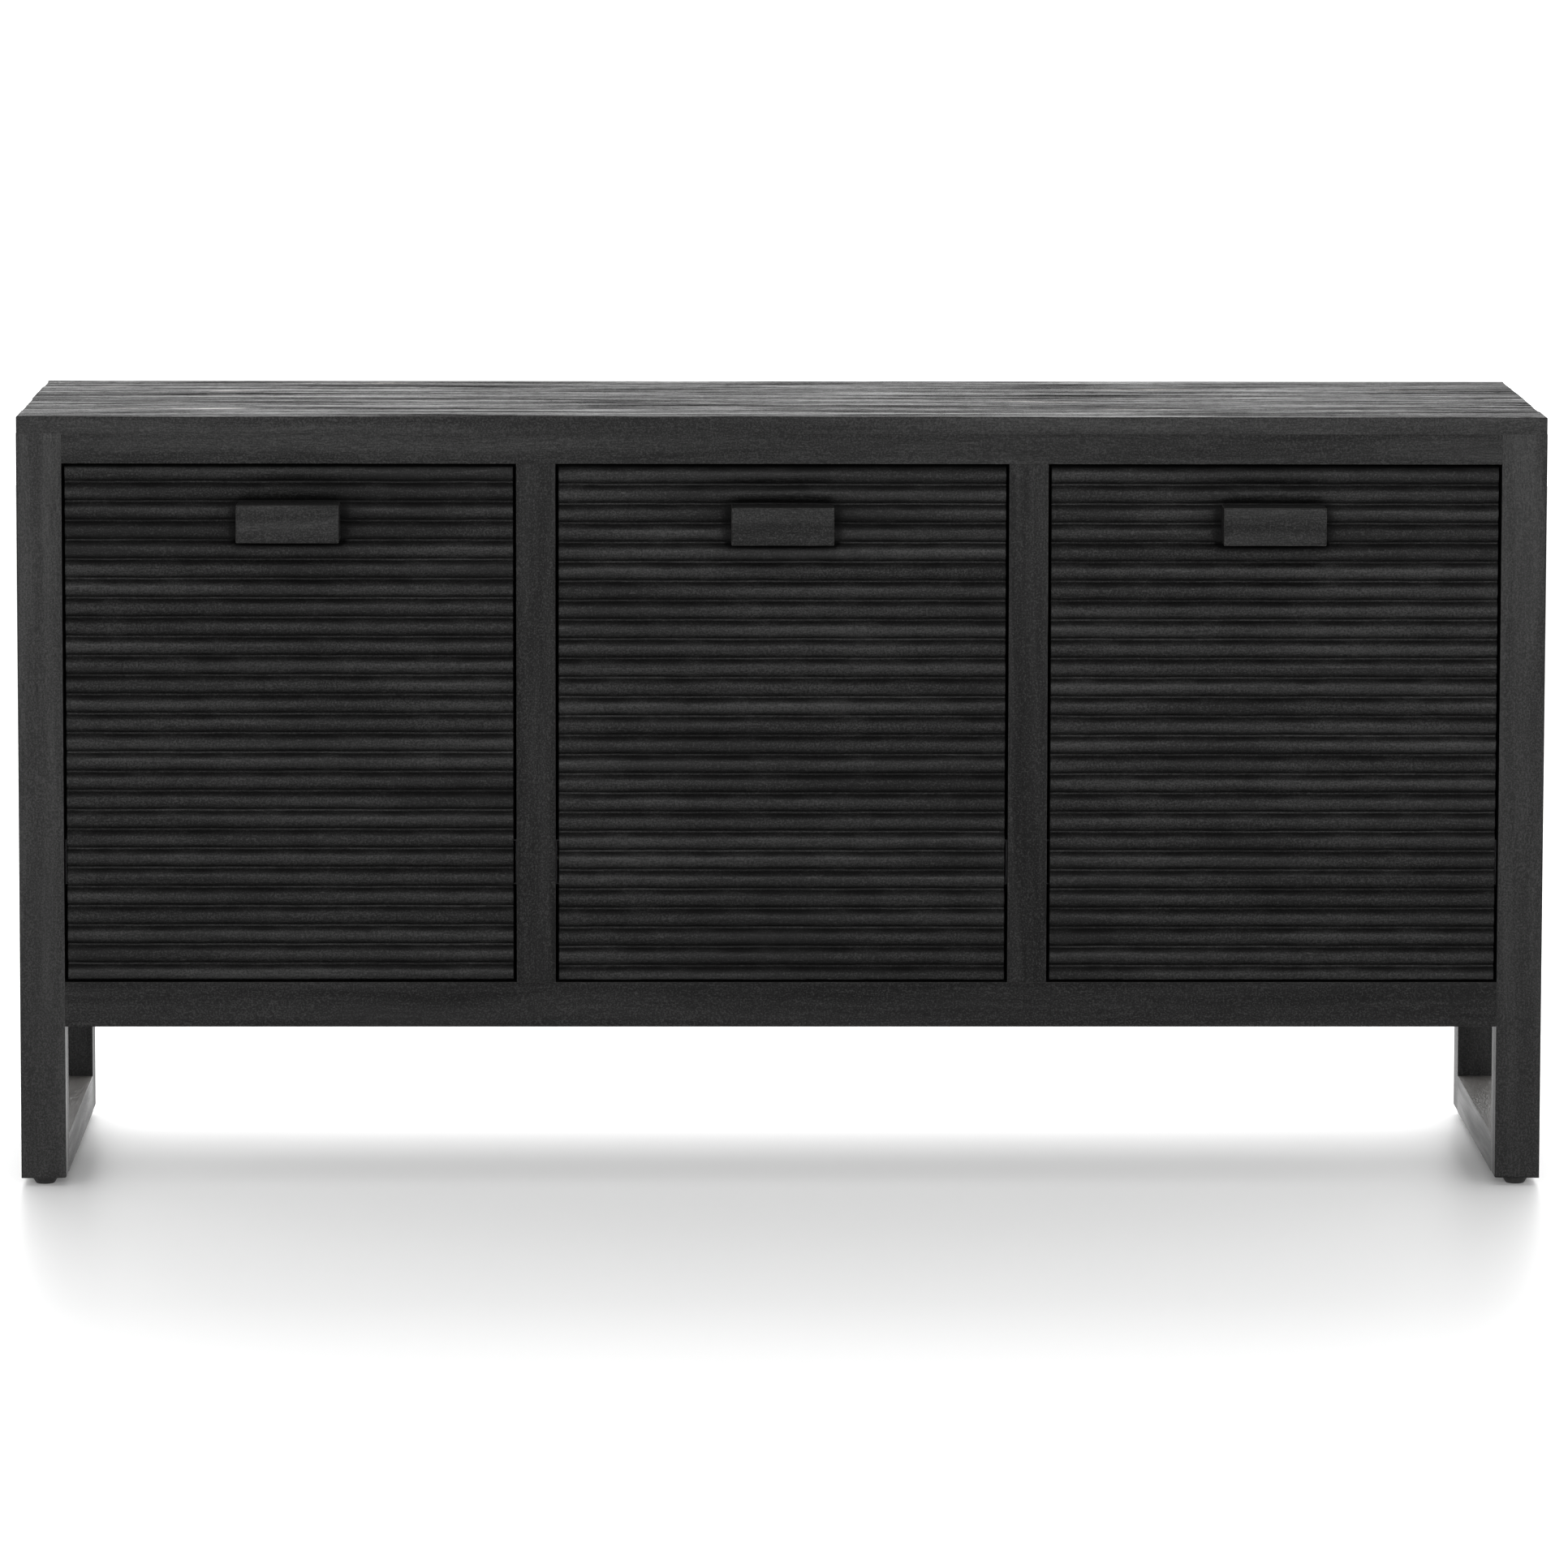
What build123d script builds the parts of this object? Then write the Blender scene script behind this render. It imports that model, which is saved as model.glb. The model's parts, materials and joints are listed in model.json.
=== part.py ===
from build123d import *
import math
import os

# Sideboard with three deep, reeded drawers in a face frame that stands on a sled base.
# Units are millimetres. +X runs to the right of someone facing the drawers, -Y points at
# them and +Z is up. The origin lies on the floor under the middle of the whole object,
# handles included.

# ---- overall size
width = 1524.0
height = 774.0
case_depth = 480.0
handle_projection = 42.0

# ---- frame members
leg_size = 45.0
top_thickness = 17.0
frame_thickness = 25.0
upper_rail_height = 30.0
lower_rail_height = 45.0
under_clearance = 161.5
stile_width = 39.0
runner_height = 38.0
edge_radius = 1.5

# ---- panels of the case
side_panel_thickness = 18.0
side_panel_setback = 4.0
bottom_panel_thickness = 15.0
bottom_panel_drop = 6.0
back_panel_thickness = 6.0
back_panel_setback = 4.0
partition_thickness = 18.0

# ---- joinery
tenon_length = 20.0
tenon_thickness = 10.0
tenon_shoulder = 5.0
stile_tenon_length = 12.0
stile_tenon_width = 25.0
tongue_thickness = 8.0
groove_depth = 7.0

# ---- drawer fronts and handles
front_side_gap = 3.0
front_top_gap = 3.0
front_bottom_gap = 2.5
front_thickness = 22.0
reed_pitch = 19.34
reed_grooves = 26
reed_depth = 4.5
reed_flat = 1.8
handle_width = 102.5
handle_height = 38.0
handle_centre = 668.0
handle_seat = 1.0
handle_screw_spacing = 64.0
# the handles are fitted by hand: how far each sits to the right and up
handle_offsets = {"left": (0.0, 2.0), "middle": (0.0, 0.0), "right": (-2.5, 0.0)}

# ---- drawer boxes
box_board = 15.0
box_height = 380.0
box_length = 410.0
box_clearance_below = 14.5
box_floor_thickness = 6.0
box_floor_lift = 12.0
box_groove = 7.0
tail_count = 9
tail_share = 0.7
tail_slope = 1.0 / 7.0

# ---- telescopic slides: three steel channels nested in each other
slide_length = 400.0
slide_setback = 2.0
slide_height = 45.0
slide_space = 12.7
slide_above_box = 110.0
slide_wall = 1.2
slide_ball_gap = 3.0
slide_lip = 1.8
slide_web_gap = 2.2
cabinet_flange = 10.2
middle_flange = 11.0
drawer_flange_gap = 1.2
slide_screw_offsets = (35.0, 195.0, 365.0)
spacer_height = 60.0

# ---- screws: (head radius, head height, shank radius, length) and where they go
case_screw_shank = 2.0
slide_screw_size = (3.4, 1.4, 1.6, 11.0)
case_screw_size = (4.0, 2.5, case_screw_shank, 32.0)
handle_screw_size = (4.0, 2.5, case_screw_shank, 40.0)
front_screw_size = (4.0, 2.5, case_screw_shank, 28.0)
screw_dome = 0.7
screw_slot_length = 1.1
screw_slot_width = 0.5
top_screw_offsets = (80.0, 310.0, 640.0)
top_screw_sink = 8.0
top_screw_hole_radius = 4.5
back_screw_offsets = (140.0, 420.0, 660.0)
back_screw_levels = (300.0, 440.0, 580.0)
front_screw_spacing = 300.0
front_screw_inset = 60.0

# ---- glides under the legs
glide_height = 8.0
glide_top_radius = 13.5
glide_foot_radius = 9.75
glide_bore_radius = 4.6
glide_bore_depth = 4.0
glide_lip = 1.0

# ---- levels and depths that follow from the sizes above
half_width = width / 2
inner_half = half_width - leg_size
y_front = (handle_projection - case_depth) / 2
y_back = y_front + case_depth
z_leg_top = height - top_thickness
z_bay_bottom = under_clearance + lower_rail_height
z_bay_top = z_leg_top - upper_rail_height
y_frame_back = y_front + frame_thickness
y_panel_back = y_back - back_panel_setback
y_panel_front = y_panel_back - back_panel_thickness
y_rear_rail = y_panel_front - frame_thickness
z_floor_top = z_bay_bottom - bottom_panel_drop
z_floor_bottom = z_floor_top - bottom_panel_thickness
bay_width = (2 * inner_half - 2 * stile_width) / 3
bay_pitch = bay_width + stile_width
x_side_outer = half_width - side_panel_setback
x_side_inner = x_side_outer - side_panel_thickness
x_side_middle = (x_side_outer + x_side_inner) / 2
leg_y = {"front": (y_front, y_front + leg_size), "rear": (y_back - leg_size, y_back)}
y_between_legs = (leg_y["front"][1], leg_y["rear"][0])
upper_rail_z = (z_bay_top, z_leg_top)
lower_rail_z = (under_clearance, z_bay_bottom)
y_box_front = y_front + front_thickness
y_box_back = y_box_front + box_length
box_z = (z_floor_top + box_clearance_below, z_floor_top + box_clearance_below + box_height)
box_half = bay_width / 2 - slide_space
slide_y = (y_box_front + slide_setback, y_box_front + slide_setback + slide_length)
slide_z = box_z[0] + slide_above_box

sides = {"left": -1, "right": 1}
drawers = {"left": -bay_pitch, "middle": 0.0, "right": bay_pitch}


# ---------------------------------------------------------------- building blocks
def block(x, y, z):
    """Solid box between the low and high value of each axis."""
    size = (x[1] - x[0], y[1] - y[0], z[1] - z[0])
    return Pos(x[0], y[0], z[0]) * Box(*size, align=(Align.MIN, Align.MIN, Align.MIN))


def grown(span, amount):
    """A low and high value moved apart by the same amount, or together if negative."""
    return (span[0] - amount, span[1] + amount)


def side_span(sign, inner, outer):
    """X range between two distances from the middle plane, on one side of it."""
    return tuple(sorted((sign * inner, sign * outer)))


def centred(middle, size):
    """Range of a size about its middle."""
    return (middle - size / 2, middle + size / 2)


def profile_of(points):
    """Face in the XZ plane from (x, z) points."""
    return make_face(Polyline(*[(x, 0, z) for x, z in points], close=True).edges())


def pan_screw(head_radius, head_height, shank_radius, length):
    """Screw pointing along +Z whose head bears on the plane z = 0, with a cross recess."""
    outline = [
        (0, -head_height),
        (head_radius * screw_dome, -head_height),
        (head_radius, -head_height / 2),
        (head_radius, 0),
        (shank_radius, 0),
        (shank_radius, length - 2 * shank_radius),
        (0, length),
    ]
    body = revolve(profile_of(outline), Axis.Z)
    slot = (head_radius * screw_slot_length, shank_radius * screw_slot_width, head_height)
    for angle in (0, 90):
        body -= Pos(0, 0, -head_height) * Rot(0, 0, angle) * Box(*slot)
    return body


def aimed(shape, position, direction):
    """The shape with its +Z axis turned along a direction and its origin at a position."""
    return Plane(origin=position, z_dir=direction) * shape


def group(shapes):
    """Several separate solids in one node."""
    return Compound(children=[solid for shape in shapes for solid in shape.solids()])


def without(shape, cutters):
    """The shape with each cutter removed."""
    for cutter in cutters:
        shape = shape - cutter
    return shape


slide_screw = pan_screw(*slide_screw_size)
case_screw = pan_screw(*case_screw_size)
handle_screw = pan_screw(*handle_screw_size)
front_screw = pan_screw(*front_screw_size)


# ---------------------------------------------------------------- frame of the case
def tenon_z(rail_z):
    """Height range of the tenon on a rail."""
    return grown(rail_z, -tenon_shoulder)


def cross_rail(y, rail_z):
    """Rail along X between two legs, with a tenon into each."""
    tenon_y = centred(sum(y) / 2, tenon_thickness)
    tenon_x = (-inner_half - tenon_length, inner_half + tenon_length)
    rail = block((-inner_half, inner_half), y, rail_z)
    return rail + block(tenon_x, tenon_y, tenon_z(rail_z))


def side_rail(sign, rail_z):
    """Rail along Y on one side, with a tenon into the front leg and the rear leg."""
    rail_x = side_span(sign, half_width - frame_thickness, half_width)
    rail = block(rail_x, y_between_legs, rail_z)
    tenon_x = centred(sign * (half_width - frame_thickness / 2), tenon_thickness)
    return rail + block(tenon_x, grown(y_between_legs, tenon_length), tenon_z(rail_z))


def floor_runner(sign):
    """Bar on the floor side of the sled base, tenoned into both legs of one side."""
    runner_z = (glide_height, glide_height + runner_height)
    bar_x = side_span(sign, inner_half, half_width)
    bar = block(bar_x, y_between_legs, runner_z)
    tenon_x = grown(bar_x, -tenon_thickness)
    return bar + block(tenon_x, grown(y_between_legs, tenon_length), tenon_z(runner_z))


def stile(sign):
    """Upright of the face frame between two drawers, tenoned into both front rails."""
    middle = sign * bay_pitch / 2
    bar_z = (z_bay_bottom, z_bay_top)
    frame_y = (y_front, y_frame_back)
    bar = block(centred(middle, stile_width), frame_y, bar_z)
    tenon_y = centred(sum(frame_y) / 2, tenon_thickness)
    return bar + block(centred(middle, stile_tenon_width), tenon_y, grown(bar_z, stile_tenon_length))


def side_panel(sign):
    """Board that closes one side, held by a tongue in the legs and side rails."""
    bar_z = (z_bay_bottom, z_bay_top)
    board = block(side_span(sign, x_side_inner, x_side_outer), y_between_legs, bar_z)
    tongue_x = centred(sign * x_side_middle, tongue_thickness)
    return board + block(tongue_x, grown(y_between_legs, groove_depth), grown(bar_z, groove_depth))


def leg(sign, end):
    """Square corner leg with its outer corner eased."""
    bar = block(side_span(sign, inner_half, half_width), leg_y[end], (glide_height, z_leg_top))
    corner_y = y_front if end == "front" else y_back
    corner = (sign * half_width, corner_y, height / 2)
    return fillet(bar.edges().filter_by(Axis.Z).sort_by_distance(corner)[0], edge_radius)


def top_board():
    """Board across the whole case, with its upper edges and corners eased."""
    board = block((-half_width, half_width), (y_front, y_back), (z_leg_top, height))
    rounded = board.edges().filter_by(Axis.Z) + board.faces().sort_by(Axis.Z)[-1].edges()
    return fillet(rounded, edge_radius)


def bottom_panel():
    """Floor of the case, held in grooves in the four lower rails and cut around the legs."""
    panel_x = half_width - frame_thickness + groove_depth
    panel_y = (y_frame_back - groove_depth, y_rear_rail + groove_depth)
    panel = block((-panel_x, panel_x), panel_y, (z_floor_bottom, z_floor_top))
    for sign in sides.values():
        for span in leg_y.values():
            panel -= block(side_span(sign, inner_half, half_width), span, (0, height))
    return panel


def back_panel():
    """Thin board behind the case, with its ends in grooves in the rear legs."""
    reach = inner_half + groove_depth
    return block((-reach, reach), (y_panel_front, y_panel_back), (under_clearance, z_leg_top))


def partition(sign):
    """Upright board behind a stile, from the case floor to the top, cut around the rear rails."""
    middle = sign * bay_pitch / 2
    board_y = (y_frame_back, y_panel_front)
    board = block(centred(middle, partition_thickness), board_y, (z_floor_top, z_leg_top))
    for rail_z in (upper_rail_z, lower_rail_z):
        board -= block((-inner_half, inner_half), (y_rear_rail, y_panel_front), rail_z)
    return board


def slide_spacers():
    """Six wooden strips that carry the slides level with the edges of the drawer openings."""
    strip_z = centred(slide_z, spacer_height)
    strips = []
    for sign in sides.values():
        strips.append(block(side_span(sign, inner_half, x_side_inner), y_between_legs, strip_z))
        middle = sign * bay_pitch / 2
        for face in (-1, 1):
            near = middle + face * partition_thickness / 2
            far = middle + face * stile_width / 2
            strips.append(block(tuple(sorted((near, far))), (y_frame_back, slide_y[1]), strip_z))
    return group(strips)


def glide():
    """Tapered foot, standing on z = 0, with a stepped hole for its screw."""
    outline = [
        (glide_bore_radius, 0),
        (glide_foot_radius - glide_lip, 0),
        (glide_foot_radius, glide_lip),
        (glide_top_radius, glide_height - glide_lip),
        (glide_top_radius, glide_height),
        (case_screw_shank, glide_height),
        (case_screw_shank, glide_bore_depth),
        (glide_bore_radius, glide_bore_depth),
    ]
    return revolve(profile_of(outline), Axis.Z)


# ---------------------------------------------------------------- screws of the case
def glide_places():
    """Middle of each leg."""
    across = half_width - leg_size / 2
    return [(sign * across, sum(span) / 2) for sign in sides.values() for span in leg_y.values()]


def top_screw_places():
    """Places along the front and rear upper rails, clear of the stiles."""
    rows = ((y_front + y_frame_back) / 2, (y_rear_rail + y_panel_front) / 2)
    return [(sign * x, y) for y in rows for sign in sides.values() for x in top_screw_offsets]


def top_board_screws():
    """Screws up through the upper rails into the top board, with their heads sunk in the rails."""
    z = z_bay_top + top_screw_sink
    return [aimed(case_screw, (x, y, z), (0, 0, 1)) for x, y in top_screw_places()]


def top_screw_holes():
    """Holes in the undersides of the upper rails that clear the sunk heads."""
    hole = Cylinder(top_screw_hole_radius, top_screw_sink, align=(Align.CENTER, Align.CENTER, Align.MIN))
    return [Pos(x, y, z_bay_top) * hole for x, y in top_screw_places()]


def back_panel_screws():
    """Screws through the back panel into the rear rails and the partitions."""
    places = []
    for sign in sides.values():
        for rail_z in (upper_rail_z, lower_rail_z):
            places += [(sign * x, sum(rail_z) / 2) for x in back_screw_offsets]
        places += [(sign * bay_pitch / 2, z) for z in back_screw_levels]
    return [aimed(slide_screw, (x, y_panel_back, z), (0, -1, 0)) for x, z in places]


def cabinet_slide_screws():
    """Screws through the cabinet members of the slides into the spacers."""
    screws = []
    for middle in drawers.values():
        for sign in sides.values():
            x = middle + sign * (bay_width / 2 - slide_wall)
            for offset in slide_screw_offsets:
                screws.append(aimed(slide_screw, (x, slide_y[0] + offset, slide_z), (sign, 0, 0)))
    return screws


# ---------------------------------------------------------------- slides
def channel(sign, wall_x, web, reach, half_height, lip_at_end):
    """Steel channel along Y. Distances web and reach run from the cabinet wall to the drawer."""
    def span(near, far):
        return tuple(sorted((wall_x - sign * near, wall_x - sign * far)))

    shape = block(span(web, web + slide_wall), slide_y, centred(slide_z, 2 * half_height))
    for up in (-1, 1):
        edge = slide_z + up * half_height
        flange_z = tuple(sorted((edge, edge - up * slide_wall)))
        shape += block(span(*reach), slide_y, flange_z)
        if lip_at_end:
            lip_z = tuple(sorted((edge, edge - up * (slide_wall + slide_lip))))
            shape += block(span(reach[1] - slide_wall, reach[1]), slide_y, lip_z)
    return shape


half_cabinet = slide_height / 2
half_middle = half_cabinet - slide_wall - slide_ball_gap
half_drawer = half_middle - slide_wall - slide_ball_gap
middle_web = slide_wall + slide_web_gap
drawer_web = slide_space - slide_wall
cabinet_reach = (0, cabinet_flange)
middle_reach = (middle_web, middle_flange)
drawer_reach = (middle_web + slide_wall + drawer_flange_gap, slide_space)


def slide_pair(middle, web, reach, half_height, lip_at_end):
    """The same slide member on both sides of one drawer."""
    return [channel(sign, middle + sign * bay_width / 2, web, reach, half_height, lip_at_end)
            for sign in sides.values()]


# ---------------------------------------------------------------- drawers
def reeded_outline():
    """Edges of a front's section in the YZ plane, rounded reeds on the -Y side."""
    half_chord = (reed_pitch - reed_flat) / 2
    radius = (half_chord ** 2 + reed_depth ** 2) / (2 * reed_depth)
    low = z_bay_bottom + front_bottom_gap
    high = z_bay_top - front_top_gap
    first = (low + high - (reed_grooves - 1) * reed_pitch) / 2
    grooves = [first + i * reed_pitch for i in range(reed_grooves)]
    y_valley = y_front + reed_depth

    def on_reed(z, crest):
        return (0, y_front + radius - math.sqrt(radius ** 2 - (z - crest) ** 2), z)

    crest = grooves[0] - reed_pitch / 2
    start = on_reed(low, crest)
    edges = [Line((0, y_box_front, low), start)]
    for groove in grooves:
        crest = groove - reed_pitch / 2
        valley = (0, y_valley, groove - reed_flat / 2)
        edges.append(ThreePointArc(start, on_reed((start[2] + valley[2]) / 2, crest), valley))
        start = (0, y_valley, groove + reed_flat / 2)
        edges.append(Line(valley, start))
    crest = grooves[-1] + reed_pitch / 2
    end = on_reed(high, crest)
    edges.append(ThreePointArc(start, on_reed((start[2] + high) / 2, crest), end))
    edges.append(Line(end, (0, y_box_front, high)))
    edges.append(Line((0, y_box_front, high), (0, y_box_front, low)))
    return edges


def drawer_front(middle, handle_place):
    """Reeded board with a shallow flat seat for the handle."""
    face = make_face(reeded_outline())
    half = bay_width / 2 - front_side_gap
    board = Pos(middle - half, 0, 0) * extrude(face, 2 * half, dir=(1, 0, 0))
    return board - handle_blank(handle_place)


def handle_blank(place):
    """Block of the handle, sunk a little into the reeds behind it."""
    x, z = place
    handle_y = (y_front - handle_projection, y_front + handle_seat)
    return block(centred(x, handle_width), handle_y, centred(z, handle_height))


def handle(place):
    """Handle block with every visible edge eased."""
    blank = handle_blank(place)
    return fillet(blank.edges() - blank.faces().sort_by(Axis.Y)[-1].edges(), edge_radius)


def tails(middle, sign):
    """Dovetail wedges at both ends of one box side."""
    pitch = box_height / tail_count
    wide = pitch * tail_share
    narrow = wide - 2 * box_board * tail_slope
    x_low = side_span(1, middle + sign * box_half, middle + sign * (box_half - box_board))[0]
    wedges = []
    for end, inward in ((y_box_front, 1), (y_box_back, -1)):
        for i in range(tail_count):
            z = box_z[0] + (i + 0.5) * pitch
            points = [
                (0, end, z - wide / 2),
                (0, end, z + wide / 2),
                (0, end + inward * box_board, z + narrow / 2),
                (0, end + inward * box_board, z - narrow / 2),
            ]
            face = make_face(Polyline(*points, close=True).edges())
            wedges.append(Pos(x_low, 0, 0) * extrude(face, box_board, dir=(1, 0, 0)))
    return wedges


def box_floor(middle):
    """Thin board held in grooves round the inside of the box."""
    reach = box_half - box_board + box_groove
    floor_y = (y_box_front + box_board - box_groove, y_box_back - box_board + box_groove)
    floor_z = box_z[0] + box_floor_lift
    return block(centred(middle, 2 * reach), floor_y, (floor_z, floor_z + box_floor_thickness))


def box_side(middle, sign, floor):
    """Side of the box, with tails at both ends."""
    side_x = tuple(sorted((middle + sign * box_half, middle + sign * (box_half - box_board))))
    board = block(side_x, (y_box_front + box_board, y_box_back - box_board), box_z)
    for wedge in tails(middle, sign):
        board += wedge
    return board - floor


def box_end(middle, y, floor):
    """Front or back of the box, with sockets for the tails of both sides."""
    board = block(centred(middle, 2 * box_half), y, box_z)
    for sign in sides.values():
        board = without(board, tails(middle, sign))
    return board - floor


def handle_screws(place):
    """Two screws from behind the front into the handle."""
    x, z = place
    ends = [x + sign * handle_screw_spacing / 2 for sign in sides.values()]
    return [aimed(handle_screw, (end, y_box_front, z), (0, -1, 0)) for end in ends]


def front_screws(middle):
    """Four screws from inside the box into the drawer front."""
    levels = grown(box_z, -front_screw_inset)
    places = [(middle + sign * front_screw_spacing / 2, z) for sign in sides.values() for z in levels]
    return [aimed(front_screw, (x, y_box_front + box_board, z), (0, -1, 0)) for x, z in places]


def drawer_slide_screws(middle):
    """Screws through the drawer members of the slides into the box sides."""
    screws = []
    for sign in sides.values():
        x = middle + sign * (box_half + slide_wall)
        for offset in slide_screw_offsets:
            screws.append(aimed(slide_screw, (x, slide_y[0] + offset, slide_z), (-sign, 0, 0)))
    return screws


def drawer_parts(name, middle):
    """Every piece that travels with one drawer, keyed by node name."""
    floor = box_floor(middle)
    handle_place = (middle + handle_offsets[name][0], handle_centre + handle_offsets[name][1])
    pull_screws = handle_screws(handle_place)
    joining_screws = front_screws(middle)
    runner_screws = drawer_slide_screws(middle)
    front = without(drawer_front(middle, handle_place), pull_screws + joining_screws)
    inner_front = box_end(middle, (y_box_front, y_box_front + box_board), floor)
    members = slide_pair(middle, drawer_web, drawer_reach, half_drawer, False)
    parts = {
        "front": front,
        "handle": without(handle(handle_place), pull_screws),
        "box_front": without(inner_front, joining_screws),
        "box_back": box_end(middle, (y_box_back - box_board, y_box_back), floor),
        "box_floor": floor,
        "screws": group(pull_screws + joining_screws + runner_screws),
        "inner_slides": group([without(member, runner_screws) for member in members]),
    }
    for side, sign in sides.items():
        parts[f"box_{side}_side"] = without(box_side(middle, sign, floor), runner_screws)
    return {f"{name}_drawer_{key}": shape for key, shape in parts.items()}


# ---------------------------------------------------------------- case
def case_parts():
    """Every piece that stays still, keyed by node name."""
    frame_y = (y_front, y_frame_back)
    rear_y = (y_rear_rail, y_panel_front)
    floor = bottom_panel()
    back = back_panel()
    stiles = {side: stile(sign) for side, sign in sides.items()}
    panels = {side: side_panel(sign) for side, sign in sides.items()}
    runners = {side: floor_runner(sign) for side, sign in sides.items()}
    levels = {"upper": upper_rail_z, "lower": lower_rail_z}
    front_rails = {level: cross_rail(frame_y, rail_z) for level, rail_z in levels.items()}
    rear_rails = {level: cross_rail(rear_y, rail_z) for level, rail_z in levels.items()}
    glides = [Pos(x, y, 0) * glide() for x, y in glide_places()]
    glide_screws = [aimed(case_screw, (x, y, glide_bore_depth), (0, 0, 1)) for x, y in glide_places()]
    top_screws = top_board_screws()
    back_screws = back_panel_screws()
    slide_screws = cabinet_slide_screws()
    top_cutters = top_screws + top_screw_holes()

    parts = {
        "top_board": without(top_board(), top_screws),
        "bottom_panel": floor,
        "back_panel": without(back, back_screws),
        "slide_spacers": group([without(strip, slide_screws) for strip in slide_spacers().solids()]),
        "glides": group([without(foot, glide_screws) for foot in glides]),
        "case_screws": group(top_screws + glide_screws),
        "short_screws": group(back_screws + slide_screws),
    }
    for level, rail in front_rails.items():
        cutters = list(stiles.values()) + (top_cutters if level == "upper" else [floor])
        parts[f"front_{level}_rail"] = without(rail, cutters)
    for level, rail in rear_rails.items():
        cutters = back_screws + (top_cutters if level == "upper" else [floor])
        parts[f"rear_{level}_rail"] = without(rail, cutters)
    for side, sign in sides.items():
        upper = side_rail(sign, upper_rail_z)
        lower = side_rail(sign, lower_rail_z)
        parts[f"stile_{side}"] = stiles[side]
        parts[f"side_panel_{side}"] = panels[side]
        parts[f"floor_runner_{side}"] = runners[side]
        parts[f"side_upper_rail_{side}"] = without(upper, [panels[side]])
        parts[f"side_lower_rail_{side}"] = without(lower, [panels[side], floor])
        parts[f"partition_{side}"] = without(partition(sign), back_screws)
        for end in leg_y:
            crossing = list(front_rails.values())
            if end == "rear":
                crossing = list(rear_rails.values()) + [back]
            cutters = crossing + [upper, lower, panels[side], runners[side]] + glide_screws
            parts[f"{end}_leg_{side}"] = without(leg(sign, end), cutters)
    for name, middle in drawers.items():
        members = slide_pair(middle, 0.0, cabinet_reach, half_cabinet, True)
        parts[f"{name}_outer_slides"] = group([without(member, slide_screws) for member in members])
        travelling = slide_pair(middle, middle_web, middle_reach, half_middle, True)
        parts[f"{name}_middle_slides"] = group(travelling)
    return parts


os.makedirs("parts", exist_ok=True)
nodes = case_parts()
for name, middle in drawers.items():
    nodes.update(drawer_parts(name, middle))
for node, shape in nodes.items():
    export_step(shape, f"parts/{node}.step")
print(len(nodes), "nodes")
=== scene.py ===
import json
import math

import bmesh
import bpy
import numpy as np
from mathutils import Matrix, Vector

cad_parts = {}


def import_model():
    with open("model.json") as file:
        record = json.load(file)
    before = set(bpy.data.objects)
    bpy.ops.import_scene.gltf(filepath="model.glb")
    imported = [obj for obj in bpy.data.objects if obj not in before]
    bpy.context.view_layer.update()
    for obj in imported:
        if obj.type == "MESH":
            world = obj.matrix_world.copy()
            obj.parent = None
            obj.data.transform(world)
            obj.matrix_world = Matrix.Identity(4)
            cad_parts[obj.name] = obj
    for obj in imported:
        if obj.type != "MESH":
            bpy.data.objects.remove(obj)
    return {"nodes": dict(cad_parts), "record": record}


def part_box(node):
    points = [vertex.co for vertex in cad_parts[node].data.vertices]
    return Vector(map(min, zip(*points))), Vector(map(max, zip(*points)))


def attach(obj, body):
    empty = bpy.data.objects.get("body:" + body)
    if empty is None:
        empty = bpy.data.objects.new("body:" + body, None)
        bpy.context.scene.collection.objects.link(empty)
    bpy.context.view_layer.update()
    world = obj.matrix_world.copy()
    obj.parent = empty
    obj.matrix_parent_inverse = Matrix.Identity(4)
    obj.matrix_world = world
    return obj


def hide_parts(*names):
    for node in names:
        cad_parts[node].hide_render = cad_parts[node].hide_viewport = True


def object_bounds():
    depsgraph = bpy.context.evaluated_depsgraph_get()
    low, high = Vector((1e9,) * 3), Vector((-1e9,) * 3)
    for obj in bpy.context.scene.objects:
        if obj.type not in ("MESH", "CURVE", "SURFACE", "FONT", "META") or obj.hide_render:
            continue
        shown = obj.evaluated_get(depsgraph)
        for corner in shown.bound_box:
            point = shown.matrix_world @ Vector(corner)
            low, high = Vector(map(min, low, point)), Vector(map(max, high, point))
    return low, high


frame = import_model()

# Looks of the three-drawer sideboard, in metres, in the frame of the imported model. Every place
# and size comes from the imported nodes; the values below only shape detail on top of them.

# ---- camera, as the sideboard was seen: far away, slightly above the top, a little left of centre
CAMERA_PLACE = (-0.120, -9.304, 1.485)
CAMERA_PITCH = math.radians(-6.77)
CAMERA_YAW = math.radians(-0.77)
CAMERA_ROLL = math.radians(-0.11)
CAMERA_LENS = 210.3
SENSOR = 36.0

MM = 0.001

# ---- brightness of the surround, by direction, and of the lamps
WORLD_FRONT = 0.15
WORLD_BACK = 1.8
WORLD_TOP = 0.9
FLOOR_GLOW = 0.08           # light from the floor itself, as on a lit table
FLOOR_REACH = 8.0
BACK_LIGHT = 84.0
FRONT_LIGHT = 150.0

# ---- stain in the wood, and the painted shade and painted highlights laid over it
DARK_STAIN = 0.0025
LIGHT_STAIN = 0.026
PORE_STAIN = 0.006
KNOT_STAIN = 0.009
# colour of the painted shade in the reeds' creases and slopes and round the handles
PAINTED_SHADE_COLOUR = 0.003
NICK_STAIN = 0.002
FLECK_STAIN = 0.08
BARE_WOOD_AND_HIGHLIGHT = 0.14            # bare wood where the stain is worn through, also the colour of painted highlights
SHADE_MIDDLE = 2.42         # taken off the sum of the noises, to centre it on the stain's range

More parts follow.
